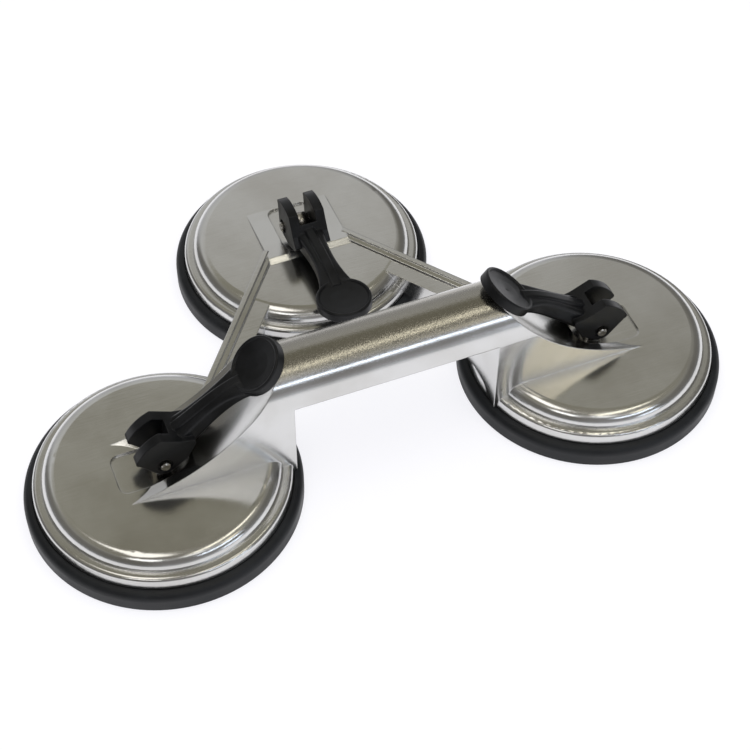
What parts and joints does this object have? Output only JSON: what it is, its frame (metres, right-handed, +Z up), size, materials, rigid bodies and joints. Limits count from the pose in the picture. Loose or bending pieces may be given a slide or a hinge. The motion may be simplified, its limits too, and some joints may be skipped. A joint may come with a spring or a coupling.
{
  "type": "three-cup suction lifter",
  "caption": "Hand lifter with a cast handle bar over suction cups under round cast domes; each cup has a folding lever that pulls its rubber disc up to grip.",
  "frame": {"origin": "centre of the box on the floor: midway between the two front cups and the rear cup, at the sealing rings' level", "axes": "+X along the handle bar to the right-hand cup, +Y from the bar to the rear cup, +Z up"},
  "size_m": [0.317, 0.2206, 0.0742],
  "materials": {
    "cast_aluminium": "tumbled and polished die casting",
    "rubber": "moulded, satin",
    "nylon": "moulded, fine satin grain",
    "steel": "turned",
    "zinc_steel": "zinc plated",
    "spring_steel": "drawn wire"
  },
  "bodies": {
    "root": {"cast_frame": "cast_aluminium", "left_rubber_disc": "rubber", "left_spring_washer": "zinc_steel", "left_return_spring": "spring_steel", "right_rubber_disc": "rubber", "right_spring_washer": "zinc_steel", "right_return_spring": "spring_steel", "rear_rubber_disc": "rubber", "rear_spring_washer": "zinc_steel", "rear_return_spring": "spring_steel"},
    "left_plunger": {"left_pull_post": "steel", "left_backing_plate": "zinc_steel", "left_lock_nut": "zinc_steel"},
    "left_lever_arm": {"left_lever": "nylon", "left_pivot_pin": "steel"},
    "right_plunger": {"right_pull_post": "steel", "right_backing_plate": "zinc_steel", "right_lock_nut": "zinc_steel"},
    "right_lever_arm": {"right_lever": "nylon", "right_pivot_pin": "steel"},
    "rear_plunger": {"rear_pull_post": "steel", "rear_backing_plate": "zinc_steel", "rear_lock_nut": "zinc_steel"},
    "rear_lever_arm": {"rear_lever": "nylon", "rear_pivot_pin": "steel"}
  },
  "joints": [
    {"name": "left_lift", "type": "slide", "parent": "root", "child": "left_plunger", "axis": [0, 0, 1], "range_m": [0, 0.00489], "deforming": ["left_return_spring"]},
    {"name": "left_lever_turn", "type": "hinge", "parent": "left_plunger", "child": "left_lever_arm", "pos_m": [-0.0995, -0.0513, 0.0298], "axis": [0, -1, 0], "range_deg": [0, 140]},
    {"name": "right_lift", "type": "slide", "parent": "root", "child": "right_plunger", "axis": [0, 0, 1], "range_m": [0, 0.00489], "deforming": ["right_return_spring"]},
    {"name": "right_lever_turn", "type": "hinge", "parent": "right_plunger", "child": "right_lever_arm", "pos_m": [0.0995, -0.0513, 0.0298], "axis": [0, 1, 0], "range_deg": [0, 140]},
    {"name": "rear_lift", "type": "slide", "parent": "root", "child": "rear_plunger", "axis": [0, 0, 1], "range_m": [0, 0.00486], "deforming": ["rear_return_spring"]},
    {"name": "rear_lever_turn", "type": "hinge", "parent": "rear_plunger", "child": "rear_lever_arm", "pos_m": [0, 0.0513, 0.0298], "axis": [-1, 0, 0], "range_deg": [0, 174]}
  ],
  "couplings": [
    {"joint": "left_lever_turn", "follows": "left_lift", "rad_per_m": 500},
    {"joint": "right_lever_turn", "follows": "right_lift", "rad_per_m": 500},
    {"joint": "rear_lever_turn", "follows": "rear_lift", "rad_per_m": 625}
  ]
}
